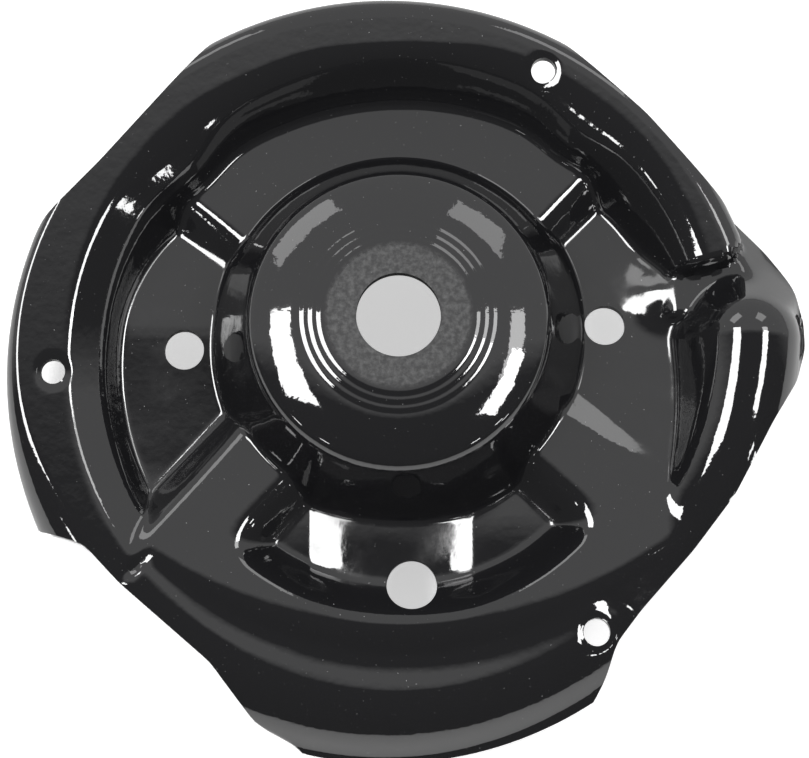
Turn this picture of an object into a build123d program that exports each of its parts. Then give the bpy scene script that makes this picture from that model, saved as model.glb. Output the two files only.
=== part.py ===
"""Spring seat of a front suspension strut, one piece of pressed sheet steel.

Millimetres. Origin on the axis of the rod bore, at the upper face of the bearing seat.
+Z runs up along the rod axis, +X to the right and +Y to the rear of the pressing.
"""
import os
from math import atan2, cos, degrees, hypot, radians, sin, sqrt, tan

from build123d import *

# Sheet
SHEET = 2.5
FLOOR = -70.0

# Raised boss that carries the bearing: radius and height along its upper face
BORE_R = 8.5
SEAT_R = 15.2
STEP_R = 20.3
STEP_Z = -0.9
DOME_MID = (25.0, -1.9)
DOME_R = 30.0
DOME_Z = -3.9
BOSS_SLOPE = 69.0
RIM_ROUND = 3.2

# Plate between boss and spring channel
PLATE_Z = -21.0
LEDGE_Y = 31.8
LEDGE_R = 94.8
LEDGE_SLOPE = 38.0
LEDGE_DROP = 6.0

# Spring channel, a ring about the leaning axis of the spring
RING_X = 0.8
RING_Y = -6.2
RING_Z = -16.0
RING_LEAN = 7.5
RING_R = 61.8
WALL_SLOPE = 52.0
CHANNEL_W = 16.8
CREST_ROUND = 0.42 * CHANNEL_W
SKIRT_DEPTH = 17.0

# Skirt of the channel before trimming, round about its own centre
SKIRT_X = -2.3
SKIRT_Y = -9.6
SKIRT_R = RING_R + CHANNEL_W
LIP_ROUND = 0.24 * CHANNEL_W

# Hump over the end of the spring wire: plan points of its centre line, heights of its crest
HUMP_A = (73.5, 3.5)
HUMP_B = (67.8, -24.5)
HUMP_C = (52.5, -45.0)
HUMP_TOP = -8.5
HUMP_DROP = 12.5
HUMP_R = 9.8

# Pockets pressed down between the ribs: side lines of their brims as plan points,
# outer radius of the brim about the spring axis, floor depth at two plan heights,
# slope of the walls, and how far the side lines are drawn in
FRONT = ((-25.4, -29.4), (-42.0, -47.1), (46.9, -40.1), (28.0, -23.2), 54.2)
LEFT = ((-32.2, 22.5), (-44.2, 31.7), (-44.4, -37.5), (-33.6, -25.7), 66.0)
RIGHT = ((35.0, -21.5), (50.1, -33.3), (39.4, 37.3), (28.6, 26.2), 66.0)
POCKETS = [
    (FRONT, 6.0, 6.0, 0.0, 1.0, 42.0, 0.0),
    (FRONT, 6.0, 6.0, 0.0, 1.0, 58.0, 2.5),
    (LEFT, 6.2, 1.2, 27.0, -32.0, 44.0, 0.0),
    (RIGHT, 0.4, 6.2, -27.0, 32.0, 44.0, 0.0),
]
POCKET_CORNER = 2.0

# Punched holes: plan position and diameter
HOLES = [
    (0.0, 0.0, 2.0 * BORE_R),
    (-44.6, -2.6, 8.2),
    (42.9, 2.6, 8.4),
    (2.7, -51.6, 10.4),
    (-70.9, -8.6, 5.0),
    (29.8, 53.0, 5.0),
    (40.5, -61.4, 5.6),
]

# Edge of the blank seen along the rod axis, clockwise: plan point and corner radius.
# Points beyond the skirts leave the skirts whole.
BLANK = [
    (-26.0, 73.0, 0), (0.0, 80.0, 0), (20.9, 71.0, 0), (51.0, 42.6, 30), (68.0, 22.2, 20),
    (80.0, 15.0, 4), (95.0, 10.0, 0), (96.0, -8.0, 0), (82.6, -9.0, 4), (76.5, -18.9, 20),
    (68.6, -33.9, 30), (60.6, -44.5, 30), (49.9, -56.6, 20), (44.6, -63.6, 8), (36.5, -90.0, 0),
    (-28.5, -90.0, 0), (-37.2, -68.6, 6), (-57.3, -51.3, 30), (-64.5, -43.6, 8),
    (-95.0, -33.5, 0), (-97.0, 0.0, 0), (-81.5, 8.0, 0), (-73.3, 22.6, 20), (-61.6, 34.3, 30),
]


def boss(inset):
    """Raised boss filled down to the floor, its face moved in by inset."""
    foot_r = DOME_R + (DOME_Z - FLOOR) / tan(radians(BOSS_SLOPE))
    top = Line((-10, 0), (SEAT_R, 0))
    ramp = Line((SEAT_R, 0), (STEP_R, STEP_Z))
    dome = ThreePointArc((STEP_R, STEP_Z), DOME_MID, (DOME_R, DOME_Z))
    wall = Line((DOME_R, DOME_Z), (foot_r, FLOOR))
    base = Line((foot_r, FLOOR), (-10, FLOOR))
    side = Line((-10, FLOOR), (-10, 0))
    face = make_face([top, ramp, dome, wall, base, side])
    if inset > 0:
        face = offset(face, -inset, kind=Kind.INTERSECTION)
    else:
        face = fillet(face.vertices().filter_by(lambda v: abs(v.X - DOME_R) < 0.01), RIM_ROUND)
    half = face & Rectangle(200, 200, align=(Align.MIN, Align.CENTER))
    return revolve(Plane.XZ * half, Axis.Z)


def plate(inset):
    """Flat plate with a falling ledge in front, filled down to the floor."""
    z = PLATE_Z - inset
    edge = LEDGE_R - inset * tan(radians(LEDGE_SLOPE / 2))
    outer = edge + LEDGE_DROP / tan(radians(LEDGE_SLOPE))
    low = z - LEDGE_DROP
    ledge = Cone(outer, edge, LEDGE_DROP, align=(Align.CENTER, Align.CENTER, Align.MIN))
    drum = Cylinder(outer, low - FLOOR, align=(Align.CENTER, Align.CENTER, Align.MIN))
    disc = Pos(RING_X, LEDGE_Y, low) * ledge + Pos(RING_X, LEDGE_Y, FLOOR) * drum
    clear = CHANNEL_W / 4
    reach = Cylinder(SKIRT_R - clear - inset, 90.0)
    return disc & (on_spring_axis() * Pos(SKIRT_X, SKIRT_Y, 0) * reach)


def on_spring_axis():
    """Place on the leaning axis of the spring."""
    return Pos(0, 0, RING_Z) * Pos(0, RING_Y, 0) * Rot(RING_LEAN, 0, 0) * Pos(0, -RING_Y, 0)


def ring(inset):
    """Spring channel on its leaning axis, filled down to the floor."""
    drum = Cylinder(SKIRT_R - inset, 60.0, align=(Align.CENTER, Align.CENTER, Align.MAX))
    block = Pos(SKIRT_X, SKIRT_Y, -inset) * drum
    rim = block.faces().sort_by(Axis.Z)[-1].edges()
    block = chamfer(rim, (LIP_ROUND - inset) / 1.5) if inset > 0 else fillet(rim, LIP_ROUND)
    throat_r = RING_R + inset * tan(radians(WALL_SLOPE / 2))
    height = 40.0
    throat = Cone(throat_r - height / tan(radians(WALL_SLOPE)), throat_r, height,
                  align=(Align.CENTER, Align.CENTER, Align.MAX))
    inner = Pos(RING_X, RING_Y, 0) * Pos(0, 0, -inset) * throat
    solid = block - inner
    crest = solid.edges().filter_by(GeomType.CIRCLE).sort_by(Axis.Z)[-1]
    solid = chamfer(crest, (CREST_ROUND - inset) / 4) if inset > 0 else fillet(crest, CREST_ROUND)
    return on_spring_axis() * solid


def hump(inset):
    """Finger-shaped hump that runs down along the channel from a rounded end."""
    ax, ay = HUMP_A
    bx, by = HUMP_B
    cx, cy = HUMP_C
    d = 2 * (ax * (by - cy) + bx * (cy - ay) + cx * (ay - by))
    ux = ((ax * ax + ay * ay) * (by - cy) + (bx * bx + by * by) * (cy - ay)
          + (cx * cx + cy * cy) * (ay - by)) / d
    uy = ((ax * ax + ay * ay) * (cx - bx) + (bx * bx + by * by) * (ax - cx)
          + (cx * cx + cy * cy) * (bx - ax)) / d
    radius = hypot(ax - ux, ay - uy)
    first = degrees(atan2(ay - uy, ax - ux))
    last = degrees(atan2(cy - uy, cx - ux))
    chord = Vector(cx - ax, cy - ay, 0).normalized()
    lean = atan2(HUMP_DROP, hypot(cx - ax, cy - ay))
    normal = Vector(chord.X * sin(lean), chord.Y * sin(lean), cos(lean))
    r = HUMP_R - inset
    rise = (ux - ax) * normal.X / normal.Z + (uy - ay) * normal.Y / normal.Z
    centre = (ux, uy, HUMP_TOP - HUMP_R - rise)
    base = Plane(origin=centre, x_dir=Vector(1, 0, 0).cross(normal).cross(normal) * -1, z_dir=normal)
    arch = Circle(r) + Pos(0, -25) * Rectangle(2 * r, 50)
    start = Plane.XZ * (Pos(radius, 0) * arch)
    body = revolve(Rot(0, 0, last) * start, Axis.Z, revolution_arc=first - last)
    end = Rot(0, 0, first) * Pos(radius, 0, 0) * (Sphere(r) + Pos(0, 0, -25) * Cylinder(r, 50))
    return base.location * (body + end)


def brim_line(p, q, shift):
    """Point and unit direction of the line p to q moved shift to its left."""
    length = hypot(q[0] - p[0], q[1] - p[1])
    dx = (q[0] - p[0]) / length
    dy = (q[1] - p[1]) / length
    return (p[0] - dy * shift, p[1] + dx * shift), (dx, dy)


def on_circle(point, direction, radius):
    """Where the line leaves the circle of this radius about the spring axis."""
    px = point[0] - RING_X
    py = point[1] - RING_Y
    b = px * direction[0] + py * direction[1]
    c = px * px + py * py - radius * radius
    s = -b + sqrt(b * b - c)
    return (point[0] + direction[0] * s, point[1] + direction[1] * s)


def pocket(spec, inset):
    """Air above one pocket floor, up to the plate."""
    brim, depth_a, depth_b, ya, yb, wall, narrow = spec
    p1, p2, p3, p4, outer = brim
    mean = (depth_a + depth_b) / 2
    run = 1 / tan(radians(wall))
    grow = inset * tan(radians(wall / 2)) - narrow
    first, d1 = brim_line(p1, p2, depth_a * run - grow)
    last, d2 = brim_line(p4, p3, grow - depth_b * run)
    radius = outer - mean * run + inset * tan(radians(wall / 2))
    a = on_circle(first, d1, radius)
    b = on_circle(last, d2, radius)
    mid_angle = atan2((a[1] + b[1]) / 2 - RING_Y, (a[0] + b[0]) / 2 - RING_X)
    mid = (RING_X + radius * cos(mid_angle), RING_Y + radius * sin(mid_angle))
    first = (first[0] - 8 * d1[0], first[1] - 8 * d1[1])
    last = (last[0] - 8 * d2[0], last[1] - 8 * d2[1])
    edges = [Line(first, a), ThreePointArc(a, mid, b), Line(b, last), Line(last, first)]
    face = make_face(edges)
    corners = [v for v in face.vertices() if hypot(v.X - a[0], v.Y - a[1]) < 0.01
               or hypot(v.X - b[0], v.Y - b[1]) < 0.01]
    face = fillet(corners, POCKET_CORNER)
    slope = (depth_a - depth_b) / (ya - yb) if ya != yb else 0.0
    middle = (ya + yb) / 2
    tilt = -degrees(atan2(slope, 1))
    air = extrude(face, mean + 8, taper=-(90 - wall))
    air = Pos(0, middle, PLATE_Z - mean - inset) * Rot(tilt, 0, 0) * Pos(0, -middle, 0) * air
    roof = Pos(0, 0, PLATE_Z - inset) * Box(300, 300, 60, align=(Align.CENTER, Align.CENTER, Align.MAX))
    return air & roof


def form(inset):
    """Everything under the upper face of the pressing, moved in by inset."""
    solid = plate(inset)
    for spec in POCKETS:
        solid = solid - pocket(spec, inset)
    return solid + ring(inset) + hump(inset) + boss(inset)


def blank_face():
    """Edge of the blank as one face with rounded corners."""
    face = make_face(Polyline(*[(x, y) for x, y, r in BLANK], close=True))
    for x, y, r in BLANK:
        if r > 0:
            corner = [v for v in face.vertices() if hypot(v.X - x, v.Y - y) < 0.01]
            face = fillet(corner, r)
    return face


def spring_seat():
    """Skin between the two faces, trimmed to the edge of the blank and punched."""
    skin = form(0.0) - form(SHEET)
    blank = extrude(Pos(0, 0, FLOOR) * blank_face(), -FLOOR + 5)
    lean = Pos(RING_X, RING_Y, RING_Z) * Rot(RING_LEAN, 0, 0) * Pos(0, 0, -SKIRT_DEPTH)
    keep = lean * Box(400, 400, 100, align=(Align.CENTER, Align.CENTER, Align.MIN))
    part = (skin & blank) & keep
    for x, y, diameter in HOLES:
        part = part - Pos(x, y, 0) * Cylinder(diameter / 2, 200)
    return part


if __name__ == "__main__":
    os.makedirs("parts", exist_ok=True)
    seat = spring_seat()
    solids = seat.solids().sort_by(SortBy.VOLUME)
    print("solids", len(solids), [round(s.volume, 1) for s in solids])
    seat = solids[-1]
    box = seat.bounding_box()
    print("box", box.min, box.max)
    export_step(seat, "parts/spring_seat.step")
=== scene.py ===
# %% [markdown]
# # A pressed spring seat in gloss black paint
#
# The object is one sheet of steel, 2.5 mm thick, pressed into a deep relief: a round boss in the
# middle with a bore for the damper rod, a flat plate with three pockets, and round it a leaning
# channel that holds the end of a coil spring. It was dipped in gloss black paint.
#
# Nothing on it is assembled, so the scene has one piece. Its shape could be sculpted or built from
# joined solids, but the relief has many soft blends that must stay smooth under a mirror-like
# paint. A height worked out from plain formulas on a grid keeps every blend smooth, so it is made
# that way, in millimetres, and put into the mesh in metres.

import bmesh
import bpy
import numpy as np
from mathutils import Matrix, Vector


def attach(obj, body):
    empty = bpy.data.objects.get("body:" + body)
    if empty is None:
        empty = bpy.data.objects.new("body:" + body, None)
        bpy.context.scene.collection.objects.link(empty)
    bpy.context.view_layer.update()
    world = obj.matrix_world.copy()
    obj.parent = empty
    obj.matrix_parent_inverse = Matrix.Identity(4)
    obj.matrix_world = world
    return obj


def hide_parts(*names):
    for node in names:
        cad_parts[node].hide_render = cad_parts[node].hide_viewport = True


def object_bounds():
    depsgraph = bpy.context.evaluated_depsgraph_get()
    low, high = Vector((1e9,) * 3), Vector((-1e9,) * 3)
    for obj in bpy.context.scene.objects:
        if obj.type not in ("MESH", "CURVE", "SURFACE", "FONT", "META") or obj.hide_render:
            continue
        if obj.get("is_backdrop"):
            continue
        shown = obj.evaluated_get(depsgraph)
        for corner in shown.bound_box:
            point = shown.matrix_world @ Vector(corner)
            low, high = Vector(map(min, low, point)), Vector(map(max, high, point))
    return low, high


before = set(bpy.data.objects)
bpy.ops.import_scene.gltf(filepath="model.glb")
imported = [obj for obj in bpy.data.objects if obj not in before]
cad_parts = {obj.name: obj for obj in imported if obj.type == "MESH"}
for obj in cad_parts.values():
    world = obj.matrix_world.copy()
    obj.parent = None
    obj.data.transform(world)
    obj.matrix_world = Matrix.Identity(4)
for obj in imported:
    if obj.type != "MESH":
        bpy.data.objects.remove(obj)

cad_low, cad_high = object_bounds()
print("measured box in mm", [round(v * 1000, 1) for v in (*cad_low, *cad_high)])

# %% [markdown]
# ## Three small tools for blending heights
#
# Where two pressed surfaces meet, the sheet bends with a radius and never with a sharp corner.
# Taking the lower or higher of two heights gives the corner, and a parabola rounds it wherever
# the two differ by less than a chosen height, k.

# %% Blending tools


def lower_of(a, b, k):
    """The smaller of two heights. Where they differ by less than k, a parabola joins them."""
    share = np.clip(0.5 + 0.5 * (b - a) / k, 0, 1)
    return b * (1 - share) + a * share - k * share * (1 - share)


def higher_of(a, b, k):
    """The larger of two heights, rounded the same way."""
    return -lower_of(-a, -b, k)


def fade(value, start, end):
    """0 before start, 1 after end, and between them t squared times (3 - 2 t)."""
    t = np.clip((value - start) / (end - start), 0, 1)
    return t * t * (3 - 2 * t)


def slope(degrees):
    """Rise over run of a wall at this angle to the plate."""
    return np.tan(np.radians(degrees))


# %% [markdown]
# ## The boss
#
# The boss is round, so its height depends only on the distance from the bore. From the inside out
# it is a flat face for the bearing, a turned step, a low dome and a steep wall.

# %% Height of the boss
SHEET = 2.5
BORE_R = 8.5
SEAT_R = 15.2
STEP_R = 20.3
STEP_Z = -0.9
DOME_FALL = 0.12
DOME_BEND = 0.020
SHOULDER_R = 30.6
SHOULDER_Z = -4.6
SHOULDER_ROUND = 2.6
BOSS_SLOPE = 69.0
TURNED_PITCH = 1.7
TURNED_DEPTH = 0.045


def turned_rings(r):
    """Height of the fine turned rings on the ramp, a sine of the radius."""
    on_ramp = (r > SEAT_R) & (r < STEP_R)
    return TURNED_DEPTH * np.sin(2 * np.pi * (r - SEAT_R) / TURNED_PITCH) * on_ramp


def boss_height(r):
    """Flat to the seat radius, a straight ramp to the step, then a parabola for the dome, all cut
    by the straight wall whose height falls with its slope."""
    ramp = STEP_Z * np.clip((r - SEAT_R) / (STEP_R - SEAT_R), 0, 1)
    out = np.clip(r - STEP_R, 0, None)
    dome = ramp - DOME_FALL * out - DOME_BEND * out * out
    wall = SHOULDER_Z - (r - SHOULDER_R) * slope(BOSS_SLOPE)
    return lower_of(dome, wall, SHOULDER_ROUND)


# %% [markdown]
# ## The spring channel
#
# The channel is a ring about the axis of the spring, which leans 7.5 degrees forward. Its section
# changes on the way round: a steep wall and a broadly rounded crest at the back, a wide sloping
# crest on the left and one large rounded lip in front. Each measure of the section is given at
# stations round the ring, and bell-shaped weights turn them into a smooth change.

# %% Section of the channel round the ring
RING_X = 0.8
RING_Y = -6.2
RING_Z = -16.0
RING_LEAN = 7.5
SKIRT_X = -2.3
SKIRT_Y = -9.6
SKIRT_R = 78.6
SKIRT_DEPTH = 17.0
LEAN_COS = np.cos(np.radians(RING_LEAN))
BELL = 13.0
WALL_SLOPE = 60.0

# Angle round the ring, radius and half width of the crest's roll, slope inside it, radius and
# half width of the roll into the wall, then width and depth of the lip outside
STATIONS = np.array([
    [-175, 68.8, 1.1, 0.58, 61.6, 1.2, 3.0, 5.0],
    [-160, 68.8, 1.0, 0.58, 61.4, 1.2, 7.0, 9.0],
    [-145, 68.4, 1.0, 0.54, 61.2, 1.2, 12.0, 12.0],
    [-125, 66.0, 2.0, 0.30, 60.5, 1.5, 14.0, 15.5],
    [-100, 64.0, 2.5, 0.20, 60.5, 1.5, 14.5, 17.0],
    [-75, 64.0, 2.5, 0.20, 60.5, 1.5, 14.5, 17.0],
    [-50, 64.0, 2.5, 0.20, 60.5, 1.5, 13.5, 15.5],
    [-25, 63.5, 2.4, 0.60, 61.0, 1.5, 8.0, 8.0],
    [0, 63.0, 2.4, 1.00, 61.5, 1.5, 5.0, 5.0],
    [25, 63.0, 4.4, 1.20, 61.8, 1.5, 4.5, 4.5],
    [45, 63.0, 5.2, 1.20, 61.8, 1.5, 4.5, 4.5],
    [65, 63.2, 4.8, 1.20, 61.8, 1.5, 4.5, 4.5],
    [90, 63.2, 2.5, 1.20, 61.6, 1.5, 4.5, 4.5],
    [115, 63.4, 3.8, 1.10, 61.6, 1.5, 4.5, 4.5],
    [135, 67.0, 2.6, 0.70, 61.6, 1.5, 4.0, 4.5],
    [155, 68.6, 1.3, 0.60, 61.6, 1.2, 2.4, 4.2],
    [170, 68.8, 1.1, 0.58, 61.6, 1.2, 2.2, 4.2],
])


def ring_plane(y):
    """Height of the leaning plane that carries the crest."""
    return RING_Z + (y - RING_Y) * slope(RING_LEAN)


def ring_local_y(y):
    """Distance along the leaning plane for a plan distance y."""
    return RING_Y + (y - RING_Y) / LEAN_COS


def ring_polar(x, y):
    """Distance from the spring's axis, and the angle round it in degrees from the right."""
    across = x - RING_X
    along = ring_local_y(y) - RING_Y
    return np.hypot(across, along), np.degrees(np.arctan2(along, across))


def angle_gap(turn, middle):
    """Difference of two angles in degrees, between -180 and 180."""
    return (turn - middle + 180) % 360 - 180


def bell(turn, middle, half):
    """1 at the middle angle, falling off as the exponential of minus (gap / half) squared."""
    return np.exp(-(angle_gap(turn, middle) / half) ** 2)


def section_at(turn):
    """The seven measures of the section, each the mean of the stations' values weighted by a
    bell of their angle."""
    weights = [bell(turn, station[0], BELL) for station in STATIONS]
    total = sum(weights)
    return [sum(w * v for w, v in zip(weights, column)) / total for column in STATIONS.T[1:]]


def rolled(distance, half):
    """0 before minus half, the distance itself after half, and between them the parabola
    (distance + half) squared over 4 half."""
    return np.where(distance > half, distance, np.clip(distance + half, 0, 2 * half) ** 2 / (4 * half))


def skirt_gap(x, y):
    """Distance inside the round skirt, negative outside it."""
    return SKIRT_R - np.hypot(x - SKIRT_X, ring_local_y(y) - SKIRT_Y)


# %% Height of the spring channel
LEVEL_R = 61.8
LEVEL_REACH = 6.0
LEVEL_SLOPE = 6.6
LEVEL_TURN = -90.0
LEVEL_HALF = 62.0
SADDLES = [(137.0, 9.0, 2.6), (53.0, 8.0, 2.6)]
OUTSIDE_FALL = 20.0
END_X = 62.0
END_Y = 13.6
END_RISE = 0.20
END_BEND_X = 68.0
END_BEND = 1.1
END_DEPTH = 13.0
END_WIDTH = (-0.8, 4.0)
END_TURNS = (-54.0, -34.0)
END_REACH = (25.0, 45.0)


def end_line(x):
    """Plan line where the raised part of the ring ends on the right."""
    return END_Y + END_RISE * (x - END_X) + END_BEND * rolled(x - END_BEND_X, 2.0)


def ring_height(x, y):
    """The leaning plane, nearly level in front, less a first slope inside the crest radius and a
    steeper one inside the wall radius, less a quarter ellipse at the lip whose drop is its depth
    times 1 minus the root of 1 minus the share of its width squared. Two saddles pull the wall
    inwards, and past the end line the ring sinks away."""
    rho, turn = ring_polar(x, y)
    crest, crest_half, first, wall, wall_half, lip_width, lip_depth = section_at(turn)
    pull = sum(depth * bell(turn, middle, half) for middle, half, depth in SADDLES)
    inner = first * rolled(crest - pull * 0.5 - rho, crest_half + 0.5 * pull)
    inner = inner + (slope(WALL_SLOPE) - first) * rolled(wall - pull - rho, wall_half)
    gap = skirt_gap(x, y)
    into = np.clip(1 - gap / lip_width, 0, 1)
    drop = lip_depth * (1 - np.sqrt(1 - into * into))
    beyond = np.clip(-gap, 0, None) * OUTSIDE_FALL
    past = fade(end_line(x) - y, *END_WIDTH) * fade(turn, *END_TURNS) * fade(x, *END_REACH)
    out = np.clip(rho - LEVEL_R, -LEVEL_REACH, LEVEL_REACH)
    level = ring_plane(y) + slope(LEVEL_SLOPE) * out * bell(turn, LEVEL_TURN, LEVEL_HALF)
    return level - inner - drop - beyond - END_DEPTH * past


# %% [markdown]
# ## The hump over the end of the wire
#
# The spring wire ends on the right, and the sheet is raised over it in a finger-shaped hump. Its
# section is part of a circle, with a straight wall beyond: steep outside, less steep inside and
# least at its end, where it runs down into a narrow valley before the ring.

# %% Height of the hump
HUMP_A = (72.3, -1.3)
HUMP_B = (68.6, -21.5)
HUMP_C = (57.0, -43.0)
HUMP_TOP = -8.6
HUMP_FALL = 8.0
HUMP_TAIL_FALL = 6.0
HUMP_R = 10.4
INNER_ANGLE = 57.0
OUTER_MORE = 22.0
OUTER_TURN = -15.0
OUTER_GAPS = (62.0, 30.0)
END_LESS = 9.0
END_TURN = 75.0
END_HALF = 45.0


def circle_through(a, b, c):
    """Centre and radius of the circle through three points: the centre is where the two
    middle perpendiculars meet."""
    rows = np.array([[b[0] - a[0], b[1] - a[1]], [c[0] - a[0], c[1] - a[1]]])
    sums = np.array([b[0] ** 2 - a[0] ** 2 + b[1] ** 2 - a[1] ** 2,
                     c[0] ** 2 - a[0] ** 2 + c[1] ** 2 - a[1] ** 2]) / 2
    centre = np.linalg.solve(rows, sums)
    return centre, np.hypot(a[0] - centre[0], a[1] - centre[1])


hump_centre, hump_arc = circle_through(HUMP_A, HUMP_B, HUMP_C)
hump_first = np.arctan2(HUMP_A[1] - hump_centre[1], HUMP_A[0] - hump_centre[0])
hump_last = np.arctan2(HUMP_C[1] - hump_centre[1], HUMP_C[0] - hump_centre[0])
print("hump arc radius", round(float(hump_arc), 1))


def hump_place(x, y):
    """Distance from the hump's centre line, the direction away from it in degrees, and how far
    along it the nearest point is."""
    angle = np.arctan2(y - hump_centre[1], x - hump_centre[0])
    held = np.clip(angle, hump_last, hump_first)
    away_x = x - hump_centre[0] - hump_arc * np.cos(held)
    away_y = y - hump_centre[1] - hump_arc * np.sin(held)
    along = (hump_first - held) / (hump_first - hump_last)
    return np.hypot(away_x, away_y), np.degrees(np.arctan2(away_y, away_x)), along


def hump_height(x, y):
    """Crest height minus the drop of a circle, R minus the root of R squared minus the distance
    squared, until the wall's slope is reached, and then a straight wall of that slope. The crest
    falls evenly at first and with the cube of the way along it towards its tail."""
    distance, away, along = hump_place(x, y)
    outward = fade(np.abs(angle_gap(away, OUTER_TURN)), *OUTER_GAPS)
    endward = bell(away, END_TURN, END_HALF) * (1 - outward)
    angle = np.radians(INNER_ANGLE + OUTER_MORE * outward - END_LESS * endward)
    reach = HUMP_R * np.sin(angle)
    inside = np.minimum(distance, reach)
    bar = HUMP_R - np.sqrt(HUMP_R * HUMP_R - inside * inside)
    wall = (distance - inside) * np.tan(angle)
    crest = HUMP_TOP - HUMP_FALL * along - HUMP_TAIL_FALL * along ** 3
    return crest - bar - wall


# %% [markdown]
# ## The valley at the end of the hump
#
# Between the end of the hump and the end of the ring a narrow valley climbs outwards from the
# plate, and past the edge of the channel it turns down as a flank.

# %% Height of the valley
VALLEY_X = 59.0
VALLEY_LIFT = 0.5
VALLEY_SLOPE = 0.24
VALLEY_Y = 4.0
VALLEY_SIDE = 2.5
VALLEY_LEFT = 1.2
VALLEY_REACH = (66.0, 70.0)
FLANK_POINT = (71.6, 13.0)
FLANK_TURN = 26.0
FLANK_SLOPE = 50.0


def valley_height(x, y):
    """A strip that rises outwards, bounded by steep drops to the rear, to the front and to the
    left, and cut by a plane that falls outwards."""
    rise = PLATE_Z + VALLEY_LIFT + VALLEY_SLOPE * rolled(x - VALLEY_X, 3.0)
    way_x = np.cos(np.radians(FLANK_TURN))
    way_y = np.sin(np.radians(FLANK_TURN))
    out = (x - FLANK_POINT[0]) * way_x + (y - FLANK_POINT[1]) * way_y
    flank = slope(FLANK_SLOPE) * rolled(out, 1.6)
    inner = 1 - fade(x, *VALLEY_REACH)
    rear = VALLEY_SIDE * rolled(y - end_line(x) - 1.0, 1.0) * inner
    front = VALLEY_SIDE * rolled(VALLEY_Y - y, 1.0)
    left = VALLEY_LEFT * rolled(VALLEY_X - 2.5 - x, 1.5)
    return rise - flank - rear - front - left


# %% [markdown]
# ## The plate and its pockets
#
# Between boss and channel lies a flat plate, which falls to the channel in front. Three pockets
# are pressed down into it, each between two ribs that run out from the boss like spokes. A pocket
# is where the distances to its side lines are positive. The two at the sides run out to the wall
# of the ring, and the front one ends at an arc of its own.

# %% Height of the plate with its pockets
PLATE_Z = -21.0
LEDGE_Y = 31.8
LEDGE_R = 93.0
LEDGE_SLOPE = 29.0
LEDGE_ROUND = 1.2
WALL_START = -0.6
WALL_END = 9.5
WALL_POWER = 1.4
POCKET_CORNER = 6.0

# For each pocket, four plan points of its two side lines, the radius of its outer arc, the way
# over which it rises there, and the rise of a crown in its middle
POCKETS = [
    ((-25.4, -29.4), (-42.0, -47.1), (46.9, -40.1), (28.0, -23.2), 53.8, 9.8, 2.6),
    ((-32.2, 22.5), (-44.2, 31.7), (-44.4, -37.5), (-33.6, -25.7), 90.0, 15.0, 0.0),
    ((35.0, -21.5), (50.1, -33.3), (39.4, 37.3), (28.6, 26.2), 90.0, 15.0, 0.0),
]

# For each pocket, distances to the rear and the depth of its floor there
FLOORS = [
    ((-54.0, -39.0, -30.0), (5.4, 3.3, 3.3)),
    ((-30.0, -12.0, 4.0, 14.0, 27.0), (6.9, 4.7, 2.5, 3.2, 6.2)),
    ((-27.0, 32.0), (1.0, 6.2)),
]
CROWN_X = -1.5
CROWN_HALF = 17.0
FLOOR_BLEND = (-4, -2, 0, 2, 4)
RAMP_X = (43.0, 57.0)
RAMP_Y = 9.5
RAMP_HALF = 7.0


def side_of(x, y, p, q):
    """Distance to the left of the line from p to q."""
    length = np.hypot(q[0] - p[0], q[1] - p[1])
    return ((q[0] - p[0]) * (y - p[1]) - (q[1] - p[1]) * (x - p[0])) / length


def pocket_shares(x, y):
    """Share and full depth of each pocket: the share climbs from 0 at its lines to 1 over the
    width of its wall, and over the pocket's own way at its outer arc. The depth is averaged over
    a few places to the front and rear, and it grows with the distance from a crown's middle,
    squared."""
    rho = np.hypot(x - RING_X, y - RING_Y)
    shares = []
    for (p1, p2, p3, p4, outer, way, crown), (marks, depths) in zip(POCKETS, FLOORS):
        inside = lower_of(side_of(x, y, p1, p2), side_of(x, y, p3, p4), POCKET_CORNER)
        turned = np.clip((inside - WALL_START) / (WALL_END - WALL_START), 0, 1) ** WALL_POWER
        share = fade(turned, 0, 1) * fade(outer - rho, 0, way)
        depths_near = [np.interp(y + shift, marks, depths) for shift in FLOOR_BLEND]
        depth = sum(depths_near) / len(FLOOR_BLEND)
        depth = depth + crown * np.clip(((x - CROWN_X) / CROWN_HALF) ** 2, 0, 1)
        shares.append((share, depth))
    return shares


def plate_height(x, y):
    """The flat plate and its falling front, less the depth of each pocket times its share. A
    ramp leads out of the right pocket into the valley."""
    flat = np.full_like(x, PLATE_Z)
    out = np.hypot(x - RING_X, y - LEDGE_Y) - LEDGE_R
    height = lower_of(flat, PLATE_Z - out * slope(LEDGE_SLOPE), LEDGE_ROUND)
    ramp = fade(x, *RAMP_X) * np.exp(-((y - RAMP_Y) / RAMP_HALF) ** 2)
    return height - (1 - ramp) * sum(share * depth for share, depth in pocket_shares(x, y))


# %% Small marks: dimpled holes and a pinched mark
# Plan position and diameter of each punched hole
HOLES = [
    (-44.6, -2.6, 8.2),
    (42.9, 2.6, 8.4),
    (2.7, -51.6, 10.4),
    (-70.9, -8.6, 5.0),
    (29.8, 53.0, 5.0),
    (40.5, -61.4, 5.6),
]
DIMPLED_BELOW = 6.0
DIMPLE_WIDTH = 1.5
DIMPLE_DEPTH = 0.40
MARK = (-54.0, -48.2)
MARK_TURN = 43.0
MARK_LONG = 3.0
MARK_WIDE = 1.0
MARK_DEPTH = 0.9


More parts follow.
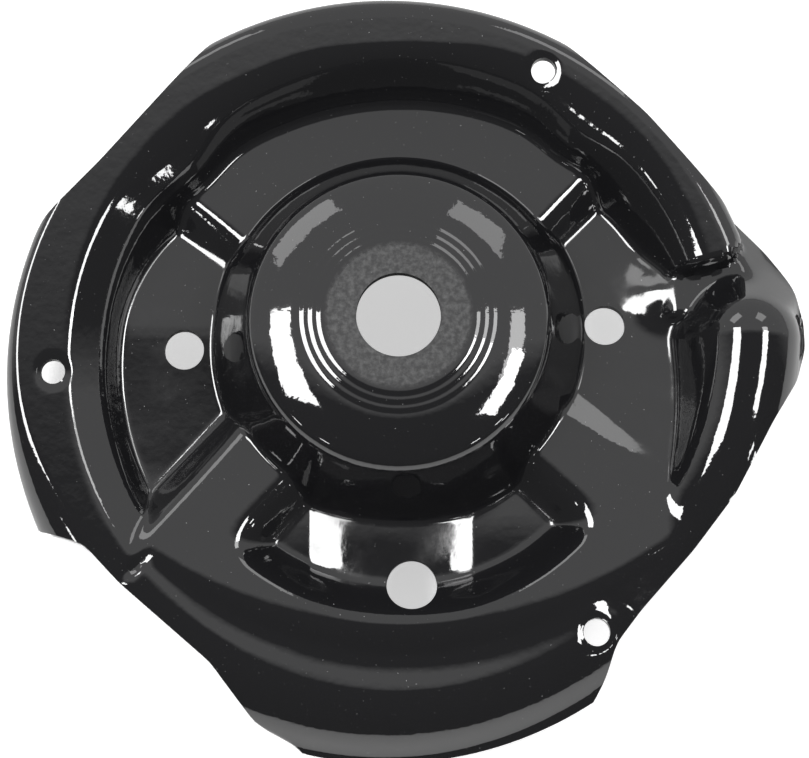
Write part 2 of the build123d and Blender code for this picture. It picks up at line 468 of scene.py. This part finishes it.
def mark_depth(x, y):
    """Depth of the dimples round the small holes, and of the pinched mark at the lower left,
    which is an exponential bell three times as long as wide."""
    depth = np.zeros_like(x)
    for hole_x, hole_y, diameter in HOLES:
        if diameter < DIMPLED_BELOW:
            radius = np.hypot(x - hole_x, y - hole_y)
            edge = diameter / 2
            depth = depth + DIMPLE_DEPTH * (1 - fade(radius, edge, edge + DIMPLE_WIDTH))
    turn = np.radians(MARK_TURN)
    along = (x - MARK[0]) * np.cos(turn) + (y - MARK[1]) * np.sin(turn)
    across = (y - MARK[1]) * np.cos(turn) - (x - MARK[0]) * np.sin(turn)
    return depth + MARK_DEPTH * np.exp(-(along / MARK_LONG) ** 2 - (across / MARK_WIDE) ** 2)


# %% Height of the whole pressing
RING_FILL = 2.2
VALLEY_FILL = 1.2
HUMP_FILL = 2.0
BOSS_FILL = 3.0


def pressed_height(x, y):
    """Height of the pressed relief: the highest of plate, ring, hump, valley and boss, with the
    corners between them filled."""
    height = higher_of(plate_height(x, y), ring_height(x, y), RING_FILL)
    height = higher_of(height, valley_height(x, y), VALLEY_FILL)
    height = higher_of(height, hump_height(x, y), HUMP_FILL)
    return higher_of(height, boss_height(np.hypot(x, y)), BOSS_FILL)


def surface(x, y):
    """Height of the upper face: the relief with its turned rings and small marks."""
    return pressed_height(x, y) + turned_rings(np.hypot(x, y)) - mark_depth(x, y)


# %% [markdown]
# ## The edge of the blank
#
# The sheet was cut before it was pressed, so a cut edge takes off its corners, and between the
# cuts the skirt stays whole. Along each direction from the bore the edge is the nearer of the
# two: the cut edge or the foot of the skirt.

# %% Where the sheet ends in each direction
COLUMNS = 576
EDGE_BLEND = (1, 2, 3, 2, 1)

# Corners of the cut edge in the plan. Points beyond the skirt leave the skirt whole.
BLANK = [
    (-26.0, 73.0), (0.0, 80.0), (20.9, 71.0), (51.0, 44.3), (61.0, 33.3), (69.5, 24.0),
    (76.3, 18.0), (81.5, 9.5), (83.9, 3.0), (84.2, -3.0), (82.4, -9.4), (76.5, -18.9),
    (68.6, -33.9), (60.6, -44.5), (49.9, -56.6), (44.6, -63.6), (42.6, -70.5), (38.5, -78.5),
    (31.0, -83.5), (24.0, -90.0), (-16.0, -90.0), (-21.0, -84.0), (-29.5, -79.5), (-35.2, -72.0),
    (-38.5, -67.5), (-57.3, -51.3), (-64.5, -43.6), (-95.0, -33.5), (-97.0, 0.0), (-81.5, 8.0),
    (-73.3, 22.6), (-61.6, 34.3),
]
SKIRT_SEARCH = (60.0, 92.0, 0.02)
HUMP_SIDE_X = 60.0
HUMP_SIDE_Y = (-40.0, 26.0)
HUMP_SKIRT = 6.6
angles = np.linspace(0, 2 * np.pi, COLUMNS, endpoint=False)


def reach_of_blank(turn):
    """Distance to the blank's edge along each angle: the nearest crossing of the ray with the
    polygon's sides, then averaged over five columns to round the corners."""
    start = np.array(BLANK)
    side = np.roll(start, -1, axis=0) - start
    ray = np.stack([np.cos(turn), np.sin(turn)], 1)[:, None, :]
    cross = ray[..., 0] * side[None, :, 1] - ray[..., 1] * side[None, :, 0]
    far = (start[None, :, 0] * side[None, :, 1] - start[None, :, 1] * side[None, :, 0]) / cross
    share = (start[None, :, 0] * ray[..., 1] - start[None, :, 1] * ray[..., 0]) / cross
    slack = 1e-9
    hit = (far > 0) & (share >= -slack) & (share <= 1 + slack)
    nearest = np.where(hit, far, np.inf).min(1)
    shifted = [w * np.roll(nearest, s) for w, s in zip(EDGE_BLEND, range(-2, 3))]
    return sum(shifted) / sum(EDGE_BLEND)


def reach_of_skirt(turn):
    """Distance to the foot of the skirt: the last of many samples along each angle that is still
    inside it. Beside the hump the blank's own edge holds."""
    steps = np.arange(*SKIRT_SEARCH)
    x = np.cos(turn)[:, None] * steps
    y = np.sin(turn)[:, None] * steps
    hump_side = (x > HUMP_SIDE_X) & (y < HUMP_SIDE_Y[1]) & (y > HUMP_SIDE_Y[0])
    inside = (skirt_gap(x, y) > 0) | hump_side
    last = steps.size - 1 - np.argmax(inside[:, ::-1], axis=1)
    return steps[last]


skirt_reach = reach_of_skirt(angles)
blank_reach = reach_of_blank(angles)
beside_hump = np.abs(angle_gap(np.degrees(angles), 0.0)) < HUMP_SKIRT
has_skirt = (blank_reach > skirt_reach) | beside_hump
edge_reach = np.minimum(skirt_reach, blank_reach)
print("columns that end in a skirt", int(has_skirt.sum()), "of", COLUMNS)

# %% [markdown]
# ## From height to mesh
#
# A square grid would cut the round boss into steps. Rows round the bore and columns out from it
# follow the shape, and rows lie closer together on the steep wall of the boss and on the lip. The
# lower face is the relief without its small marks, one sheet thickness below. It is seen less, so
# it has one column for every three of the upper face.

# %% Grids of the two faces
WALL_TOP_R = 29.0
BOSS_FOOT_R = 40.0
FAR_ROWS = 76
SKIRT_ROWS = 8
RATIO = 3
MOST_UPRIGHT = 3.0
near_rows = np.concatenate([
    np.linspace(BORE_R, SEAT_R, 7)[:-1],
    np.linspace(SEAT_R, STEP_R, 22)[:-1],
    np.linspace(STEP_R, WALL_TOP_R, 12)[:-1],
    np.linspace(WALL_TOP_R, BOSS_FOOT_R, 26),
])
far_share = np.linspace(0, 1, FAR_ROWS + 1)[1:]
far_share = 0.5 * far_share + 0.5 * np.sin(far_share * np.pi / 2)


def sheet_grid(height, turn, edge, skirted):
    """Points of one face, one row of the array for each angle. Heights come from the function
    given, and the skirt drops square to the leaning plane, from the lip to its foot below."""
    plan = np.concatenate([
        np.repeat(near_rows[None, :], turn.size, 0),
        BOSS_FOOT_R + (edge[:, None] - BOSS_FOOT_R) * far_share[None, :],
    ], axis=1)
    x = plan * np.cos(turn)[:, None]
    y = plan * np.sin(turn)[:, None]
    z = height(x, y)
    foot = ring_plane(y[:, -1]) - SKIRT_DEPTH
    depth = np.where(skirted, np.clip(z[:, -1] - foot, 0, None), 0.0)
    down = np.linspace(0, 1, SKIRT_ROWS + 1)[1:]
    x_low = np.repeat(x[:, -1:], SKIRT_ROWS, 1)
    y_low = y[:, -1:] + slope(RING_LEAN) * depth[:, None] * down[None, :]
    z_low = z[:, -1:] - depth[:, None] * down[None, :]
    return np.stack([
        np.concatenate([x, x_low], 1),
        np.concatenate([y, y_low], 1),
        np.concatenate([z, z_low], 1),
    ], axis=-1)


def lower_height(x, y):
    """Height of the lower face: the relief less the sheet's thickness measured upright, which is
    the thickness times the root of 1 plus the slope squared, up to a most upright wall."""
    step = 0.05
    dx = (pressed_height(x + step, y) - pressed_height(x - step, y)) / (2 * step)
    dy = (pressed_height(x, y + step) - pressed_height(x, y - step)) / (2 * step)
    upright = np.clip(np.sqrt(1 + dx * dx + dy * dy), 1, MOST_UPRIGHT)
    return pressed_height(x, y) - SHEET * upright


coarse = slice(None, None, RATIO)
upper = sheet_grid(surface, angles, edge_reach, has_skirt)
inner_reach = edge_reach - SHEET * has_skirt
lower = sheet_grid(lower_height, angles[coarse], inner_reach[coarse], has_skirt[coarse])
print("upper face", upper.shape, "lowest", round(float(upper[..., 2].min()), 2))


# %% Faces of the closed sheet
def grid_faces(columns, rows, first, flip):
    """Four-sided faces of a grid that closes on itself round the bore."""
    c = np.arange(columns)[:, None]
    r = np.arange(rows - 1)[None, :]
    n = (c + 1) % columns
    quad = np.stack([c * rows + r, c * rows + r + 1, n * rows + r + 1, n * rows + r], axis=-1)
    quad = quad.reshape(-1, 4) + first
    return quad[:, ::-1] if flip else quad


def rim_faces(row, flip):
    """Faces between a row of the upper grid and the same row of the coarser lower grid."""
    columns = COLUMNS // RATIO
    c = np.arange(columns)[:, None]
    tops = (c * RATIO + np.arange(RATIO + 1)[None, :]) % COLUMNS * row_count + row
    lows = (np.stack([c[:, 0] + 1, c[:, 0]], 1) % columns) * row_count + row + lower_first
    ring = np.concatenate([tops, lows], axis=1)
    return ring[:, ::-1] if flip else ring


row_count = upper.shape[1]
lower_first = COLUMNS * row_count
points = np.concatenate([upper.reshape(-1, 3), lower.reshape(-1, 3)]) / 1000
faces = grid_faces(COLUMNS, row_count, 0, False).tolist()
faces += grid_faces(COLUMNS // RATIO, row_count, lower_first, True).tolist()
faces += rim_faces(row_count - 1, True).tolist()
faces += rim_faces(0, False).tolist()

sheet_mesh = bpy.data.meshes.new("pressed_sheet")
sheet_mesh.from_pydata(points.tolist(), [], faces)
seat = bpy.data.objects.new("pressed_seat", sheet_mesh)
bpy.context.scene.collection.objects.link(seat)

tidy = bmesh.new()
tidy.from_mesh(sheet_mesh)
bmesh.ops.remove_doubles(tidy, verts=tidy.verts, dist=1e-6)
bmesh.ops.dissolve_degenerate(tidy, dist=1e-7, edges=tidy.edges)
bmesh.ops.recalc_face_normals(tidy, faces=tidy.faces)
open_edges = sum(1 for e in tidy.edges if len(e.link_faces) != 2)
volume = tidy.calc_volume(signed=True)
tidy.to_mesh(sheet_mesh)
tidy.free()
print("edges that are open or shared by three faces", open_edges, "volume cm3", round(volume * 1e6, 2))

# %% [markdown]
# ## Punched holes
#
# Six more holes are punched straight down. Round posts are subtracted with a Boolean modifier,
# which is then applied, so that the holes are real edges in the mesh.

# %% Punch the holes
POST_SIDES = 64
POST_TOP = 10.0
POST_FOOT = -60.0
SHARP_ANGLE = 40.0


def post_points(x, y, diameter):
    """Two circles of points, one above and one below the sheet."""
    turn = np.linspace(0, 2 * np.pi, POST_SIDES, endpoint=False)
    circle = np.stack([x + diameter / 2 * np.cos(turn), y + diameter / 2 * np.sin(turn)], 1)
    top = np.column_stack([circle, np.full(POST_SIDES, POST_TOP)])
    low = np.column_stack([circle, np.full(POST_SIDES, POST_FOOT)])
    return np.concatenate([low, top])


post_vertices = np.concatenate([post_points(*hole) for hole in HOLES]) / 1000
post_faces = []
for number in range(len(HOLES)):
    low = np.arange(POST_SIDES) + 2 * POST_SIDES * number
    low_next = np.roll(low, -1)
    walls = np.stack([low, low_next, low_next + POST_SIDES, low + POST_SIDES], 1)
    post_faces += walls.tolist()
    post_faces += [low[::-1].tolist(), (low + POST_SIDES).tolist()]
posts_mesh = bpy.data.meshes.new("punches")
posts_mesh.from_pydata(post_vertices.tolist(), [], post_faces)
punches = bpy.data.objects.new("punches", posts_mesh)
bpy.context.scene.collection.objects.link(punches)

cut = seat.modifiers.new("holes", "BOOLEAN")
cut.operation = "DIFFERENCE"
cut.solver = "EXACT"
cut.object = punches
graph = bpy.context.evaluated_depsgraph_get()
punched = bpy.data.meshes.new_from_object(seat.evaluated_get(graph))
seat.modifiers.clear()
seat.data = punched
bpy.data.objects.remove(punches)
punched.name = "pressed_sheet"
punched.shade_smooth()
punched.set_sharp_from_angle(angle=np.radians(SHARP_ANGLE))
print("faces after punching", len(punched.polygons))

# %% [markdown]
# ## Gloss black dip paint
#
# The paint is nearly black and as glossy as a lacquer, so what is seen of it is mostly what it
# mirrors. A Principled shader with a dark base does that, and its index of refraction, 1.8, makes
# the mirror image twice as bright as glass would. Real paint is not perfect: its skin is slightly
# wavy, pale specks of dust have settled in it, and the pocket floors are duller in patches.

# %% Paint
paint = bpy.data.materials.new("gloss_black_paint")
paint.use_nodes = True
nodes = paint.node_tree.nodes
links = paint.node_tree.links
shader = nodes["Principled BSDF"]
shader.inputs["IOR"].default_value = 1.80

place = nodes.new("ShaderNodeTexCoord")


def noise(scale, detail, roughness=0.5):
    """A noise on the object's own coordinates, scale in waves per metre."""
    node = nodes.new("ShaderNodeTexNoise")
    node.inputs["Scale"].default_value = scale
    node.inputs["Detail"].default_value = detail
    node.inputs["Roughness"].default_value = roughness
    links.new(place.outputs["Object"], node.inputs["Vector"])
    return node.outputs["Fac"]


def stretched(value, low, high, out_low=0.0, out_high=1.0):
    """Map a value from one range to another, held at the ends."""
    node = nodes.new("ShaderNodeMapRange")
    node.inputs["From Min"].default_value = low
    node.inputs["From Max"].default_value = high
    node.inputs["To Min"].default_value = out_low
    node.inputs["To Max"].default_value = out_high
    links.new(value, node.inputs["Value"])
    return node.outputs["Result"]


def combined(operation, first, second):
    """Two values through one Math node; either may be a plain number."""
    node = nodes.new("ShaderNodeMath")
    node.operation = operation
    for socket, value in zip(node.inputs, (first, second)):
        if isinstance(value, (int, float)):
            socket.default_value = value
        else:
            links.new(value, socket)
    return node.outputs["Value"]


# %% Where the paint is dull
# The mesh carries two measures for the paint: how far a point lies on a pocket's floor, and
# whether it is on the matte face of the bearing seat.
count = len(punched.vertices)
flat_points = np.empty(count * 3, dtype=np.float32)
punched.vertices.foreach_get("co", flat_points)
spot = flat_points.reshape(-1, 3).astype(float) * 1000
spot_x = spot[:, 0]
spot_y = spot[:, 1]
floor_share = sum(fade(share, 0.5, 1.0) for share, depth in pocket_shares(spot_x, spot_y))
risen = pressed_height(spot_x, spot_y) - plate_height(spot_x, spot_y)
floor_share = np.clip(floor_share, 0, 1) * (1 - fade(risen, 0.2, 1.5))
seat_share = 1 - fade(np.hypot(spot_x, spot_y), SEAT_R - 0.6, SEAT_R)
for name, values in (("pocket_floor", floor_share), ("seat_face", seat_share)):
    layer = punched.attributes.new(name, "FLOAT", "POINT")
    layer.data.foreach_set("value", values.astype(np.float32))


def measure(name):
    """Read one of the mesh's own measures in the material."""
    node = nodes.new("ShaderNodeAttribute")
    node.attribute_name = name
    return node.outputs["Fac"]


on_floor = measure("pocket_floor")
on_seat = measure("seat_face")

# %% Roughness, dust and the wavy skin
GLOSS_ROUGHNESS = 0.04
FLOOR_ROUGHNESS = 0.17
SEAT_ROUGHNESS = 0.30
BLACK = (0.010, 0.010, 0.011, 1)
DUST = (0.30, 0.30, 0.30, 1)
patches = stretched(noise(110.0, 4.0, 0.6), 0.36, 0.70)
dull_floor = combined("MULTIPLY", on_floor, patches)
roughness = combined("ADD", GLOSS_ROUGHNESS, combined("MULTIPLY", dull_floor, FLOOR_ROUGHNESS))
roughness = combined("ADD", roughness, combined("MULTIPLY", on_seat, SEAT_ROUGHNESS))
links.new(roughness, shader.inputs["Roughness"])

speck = stretched(noise(2300.0, 1.0), 0.775, 0.82)
grain = stretched(noise(900.0, 3.0, 0.7), 0.40, 0.75, 0.0, 0.25)
seat_grain = combined("MULTIPLY", on_seat, grain)
tint = nodes.new("ShaderNodeMix")
tint.data_type = "RGBA"
tint.inputs["A"].default_value = BLACK
tint.inputs["B"].default_value = DUST
links.new(combined("MAXIMUM", speck, seat_grain), tint.inputs["Factor"])
links.new(tint.outputs["Result"], shader.inputs["Base Color"])

skin = nodes.new("ShaderNodeBump")
skin.inputs["Strength"].default_value = 0.065
skin.inputs["Distance"].default_value = 0.0006
fine_waves = combined("MULTIPLY", noise(720.0, 2.0), 0.35)
links.new(combined("ADD", noise(240.0, 2.0), fine_waves), skin.inputs["Height"])
links.new(skin.outputs["Normal"], shader.inputs["Normal"])
punched.materials.clear()
punched.materials.append(paint)

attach(seat, "root")
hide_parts("spring_seat")

# %% [markdown]
# ## Floor, light and camera
#
# A glossy black thing is lit by what it mirrors. Two bright soft boxes hang above to the left and
# right, with dimmer panels behind and small lamps in front. A grey ceiling fills the rest, and the
# white table below shows in the turned-down lips.

# %% Floor
# The floor glows only for the camera, so that the background is as white as in the photo.
floor_mesh = bpy.data.meshes.new("floor")
floor_z = float(cad_low[2]) - 0.0005
FLOOR_HALF = 3.0
corners = [(-1, -1), (1, -1), (1, 1), (-1, 1)]
floor_points = [(right * FLOOR_HALF, back * FLOOR_HALF, floor_z) for right, back in corners]
floor_mesh.from_pydata(floor_points, [], [(0, 1, 2, 3)])
floor = bpy.data.objects.new("floor", floor_mesh)
bpy.context.scene.collection.objects.link(floor)
floor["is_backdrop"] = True
floor_paint = bpy.data.materials.new("pale_floor")
floor_paint.use_nodes = True
floor_nodes = floor_paint.node_tree.nodes
floor_links = floor_paint.node_tree.links
floor_shader = floor_nodes["Principled BSDF"]
floor_shader.inputs["Base Color"].default_value = (0.9, 0.9, 0.9, 1)
floor_shader.inputs["Roughness"].default_value = 0.9
rays = floor_nodes.new("ShaderNodeLightPath")
glow = floor_nodes.new("ShaderNodeMath")
glow.operation = "MULTIPLY"
glow.inputs[1].default_value = 0.55
floor_links.new(rays.outputs["Is Camera Ray"], glow.inputs[0])
floor_shader.inputs["Emission Color"].default_value = (1, 1, 1, 1)
floor_links.new(glow.outputs["Value"], floor_shader.inputs["Emission Strength"])
floor_mesh.materials.append(floor_paint)


# %% Lamps
LAMP_FAR = 1.2


def soft_box(name, right, back, wide, tall, radiance):
    """A rectangular lamp. Its place is two angles from straight up, to the right and to the
    back, its size is two angles too, and its power is radiance times pi times its area."""
    lamp = bpy.data.lights.new(name, "AREA")
    lamp.shape = "RECTANGLE"
    lamp.size = 2 * LAMP_FAR * np.tan(np.radians(wide / 2))
    lamp.size_y = 2 * LAMP_FAR * np.tan(np.radians(tall / 2))
    lamp.energy = radiance * np.pi * lamp.size * lamp.size_y
    holder = bpy.data.objects.new(name, lamp)
    polar = np.radians(np.hypot(right, back))
    turn = np.arctan2(back, right)
    away = np.array([np.cos(turn) * np.sin(polar), np.sin(turn) * np.sin(polar), np.cos(polar)])
    holder.location = away * LAMP_FAR
    holder.rotation_euler = holder.location.to_track_quat("Z", "Y").to_euler()
    bpy.context.scene.collection.objects.link(holder)
    return holder


# The lamps stand where the boss and the hump mirror windows and lamps in the photo.
soft_box("left_window", -32, -1, 27, 18, 13)
soft_box("right_window", 33, -10, 22, 11, 13)
soft_box("right_window_dim", 33, 2, 22, 12, 5)
soft_box("back_left_panel", -32, 42, 24, 15, 2.0)
soft_box("back_right_panel", 24, 40, 17, 17, 1.8)
small_lamps = [(-44, -33), (-31, -40), (44, -33), (38, -49), (55, -38)]
for number, (right, back) in enumerate(small_lamps):
    soft_box(f"ceiling_lamp_{number}", right, back, 4, 4, 12)

# %% Sky
# The ceiling is mirrored grey at the back and dark in front, and the camera sees plain white.
sky = bpy.data.worlds.new("studio")
bpy.context.scene.world = sky
sky.use_nodes = True
sky_nodes = sky.node_tree.nodes
sky_links = sky.node_tree.links
sky_background = sky_nodes["Background"]
sky_rays = sky_nodes.new("ShaderNodeLightPath")
sky_way = sky_nodes.new("ShaderNodeTexCoord")
sky_axes = sky_nodes.new("ShaderNodeSeparateXYZ")
sky_links.new(sky_way.outputs["Generated"], sky_axes.inputs["Vector"])
ceiling = sky_nodes.new("ShaderNodeMapRange")
ceiling.inputs["From Min"].default_value = -0.12
ceiling.inputs["From Max"].default_value = 0.06
ceiling.inputs["To Min"].default_value = 0.08
ceiling.inputs["To Max"].default_value = 0.60
sky_links.new(sky_axes.outputs["Y"], ceiling.inputs["Value"])
sky_mix = sky_nodes.new("ShaderNodeMix")
sky_mix.data_type = "FLOAT"
sky_mix.inputs["B"].default_value = 1.0
sky_links.new(ceiling.outputs["Result"], sky_mix.inputs["A"])
sky_links.new(sky_rays.outputs["Is Camera Ray"], sky_mix.inputs["Factor"])
sky_links.new(sky_mix.outputs["Result"], sky_background.inputs["Strength"])
sky_background.inputs["Color"].default_value = (1, 1, 1, 1)

# %% Camera
CAMERA_TILT = 10.0
CAMERA_FAR = 0.600
VIEW_WIDTH = 0.1618
AIM = (0.0012, -0.0129)
tilt = np.radians(CAMERA_TILT)
lens = bpy.data.cameras.new("camera")
lens.sensor_width = 36.0
lens.lens = 36.0 * CAMERA_FAR / VIEW_WIDTH
lens.clip_start = 0.01
lens.clip_end = 20.0
camera = bpy.data.objects.new("camera", lens)
camera.location = (
    AIM[0],
    -CAMERA_FAR * np.sin(tilt) + AIM[1] * np.cos(tilt),
    CAMERA_FAR * np.cos(tilt) + AIM[1] * np.sin(tilt),
)
camera.rotation_euler = (tilt, 0, 0)
bpy.context.scene.collection.objects.link(camera)
bpy.context.scene.camera = camera
bpy.context.scene.view_settings.view_transform = "Standard"

# %% Print the scene's box and finish
low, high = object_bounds()
print("scene box in mm", [round(v * 1000, 1) for v in (*low, *high)])
